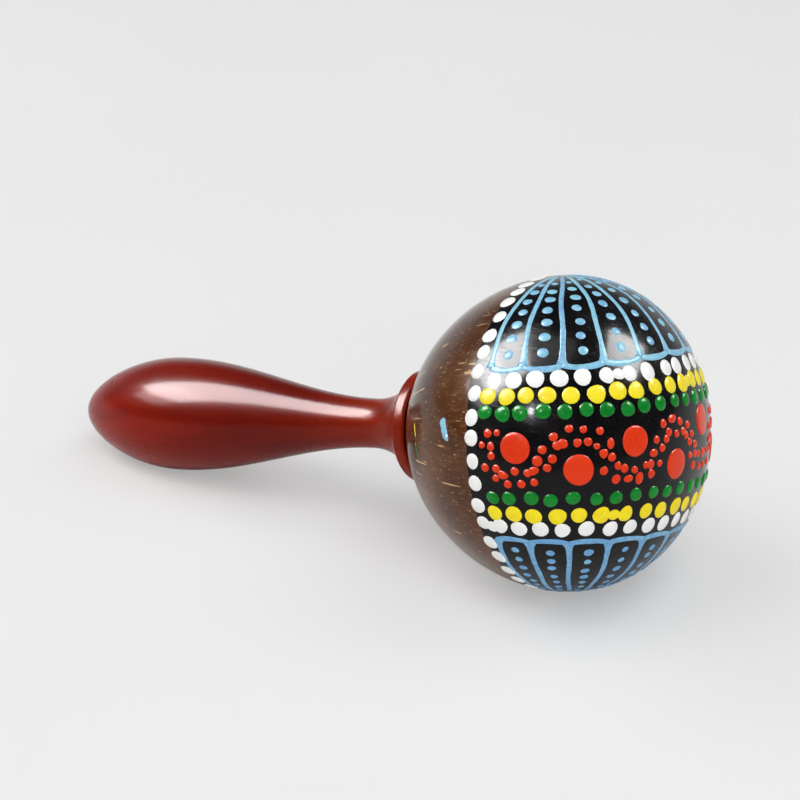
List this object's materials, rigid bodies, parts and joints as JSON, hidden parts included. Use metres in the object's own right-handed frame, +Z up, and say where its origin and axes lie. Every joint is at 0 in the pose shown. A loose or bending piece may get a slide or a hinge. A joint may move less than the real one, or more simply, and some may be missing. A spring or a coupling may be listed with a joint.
{
  "type": "maraca",
  "caption": "Coconut-shell maraca lying on its side: a round hollow head with loose seeds inside on a turned wooden handle with a bulb, a slim neck and a flange.",
  "frame": {"origin": "bottom centre of the box round the lying maraca, on the table top", "axes": "+X level, from the handle to the head; +Z up from the table; +Y completes the right-handed frame"},
  "size_m": [0.2142, 0.0924, 0.0918],
  "materials": {
    "coconut": "polished coconut shell, its front half painted black with raised coloured dots",
    "handle_wood": "turned hardwood under glossy red-brown lacquer",
    "glue": "dark set glue",
    "seed": "hard dry seeds"
  },
  "bodies": {
    "maraca": {"coconut_shell": "coconut", "handle": "handle_wood", "glue_ring": "glue"},
    "seed_01": {"rattle_seed_01": "seed"},
    "seed_02": {"rattle_seed_02": "seed"},
    "seed_03": {"rattle_seed_03": "seed"},
    "seed_04": {"rattle_seed_04": "seed"},
    "seed_05": {"rattle_seed_05": "seed"},
    "seed_06": {"rattle_seed_06": "seed"},
    "seed_07": {"rattle_seed_07": "seed"},
    "seed_08": {"rattle_seed_08": "seed"},
    "seed_09": {"rattle_seed_09": "seed"},
    "seed_10": {"rattle_seed_10": "seed"},
    "seed_11": {"rattle_seed_11": "seed"},
    "seed_12": {"rattle_seed_12": "seed"},
    "seed_13": {"rattle_seed_13": "seed"},
    "seed_14": {"rattle_seed_14": "seed"},
    "seed_15": {"rattle_seed_15": "seed"},
    "seed_16": {"rattle_seed_16": "seed"},
    "seed_17": {"rattle_seed_17": "seed"},
    "seed_18": {"rattle_seed_18": "seed"},
    "seed_19": {"rattle_seed_19": "seed"}
  },
  "joints": [
    {"name": "seed_01_rattle", "type": "slide", "parent": "maraca", "child": "seed_01", "axis": [0, 0, 1], "range_m": [0, 0.0764]},
    {"name": "seed_02_rattle", "type": "slide", "parent": "maraca", "child": "seed_02", "axis": [0, 0, 1], "range_m": [0, 0.0739]},
    {"name": "seed_03_rattle", "type": "slide", "parent": "maraca", "child": "seed_03", "axis": [0, 0, 1], "range_m": [0, 0.0744]},
    {"name": "seed_04_rattle", "type": "slide", "parent": "maraca", "child": "seed_04", "axis": [0, 0, 1], "range_m": [0, 0.0748]},
    {"name": "seed_05_rattle", "type": "slide", "parent": "maraca", "child": "seed_05", "axis": [0, 0, 1], "range_m": [0, 0.0749]},
    {"name": "seed_06_rattle", "type": "slide", "parent": "maraca", "child": "seed_06", "axis": [0, 0, 1], "range_m": [0, 0.0748]},
    {"name": "seed_07_rattle", "type": "slide", "parent": "maraca", "child": "seed_07", "axis": [0, 0, 1], "range_m": [0, 0.0744]},
    {"name": "seed_08_rattle", "type": "slide", "parent": "maraca", "child": "seed_08", "axis": [0, 0, 1], "range_m": [0, 0.0664]},
    {"name": "seed_09_rattle", "type": "slide", "parent": "maraca", "child": "seed_09", "axis": [0, 0, 1], "range_m": [0, 0.0695]},
    {"name": "seed_10_rattle", "type": "slide", "parent": "maraca", "child": "seed_10", "axis": [0, 0, 1], "range_m": [0, 0.0685]},
    {"name": "seed_11_rattle", "type": "slide", "parent": "maraca", "child": "seed_11", "axis": [0, 0, 1], "range_m": [0, 0.0711]},
    {"name": "seed_12_rattle", "type": "slide", "parent": "maraca", "child": "seed_12", "axis": [0, 0, 1], "range_m": [0, 0.0694]},
    {"name": "seed_13_rattle", "type": "slide", "parent": "maraca", "child": "seed_13", "axis": [0, 0, 1], "range_m": [0, 0.0714]},
    {"name": "seed_14_rattle", "type": "slide", "parent": "maraca", "child": "seed_14", "axis": [0, 0, 1], "range_m": [0, 0.0697]},
    {"name": "seed_15_rattle", "type": "slide", "parent": "maraca", "child": "seed_15", "axis": [0, 0, 1], "range_m": [0, 0.0714]},
    {"name": "seed_16_rattle", "type": "slide", "parent": "maraca", "child": "seed_16", "axis": [0, 0, 1], "range_m": [0, 0.0694]},
    {"name": "seed_17_rattle", "type": "slide", "parent": "maraca", "child": "seed_17", "axis": [0, 0, 1], "range_m": [0, 0.0711]},
    {"name": "seed_18_rattle", "type": "slide", "parent": "maraca", "child": "seed_18", "axis": [0, 0, 1], "range_m": [0, 0.0685]},
    {"name": "seed_19_rattle", "type": "slide", "parent": "maraca", "child": "seed_19", "axis": [0, 0, 1], "range_m": [0, 0.0695]}
  ]
}
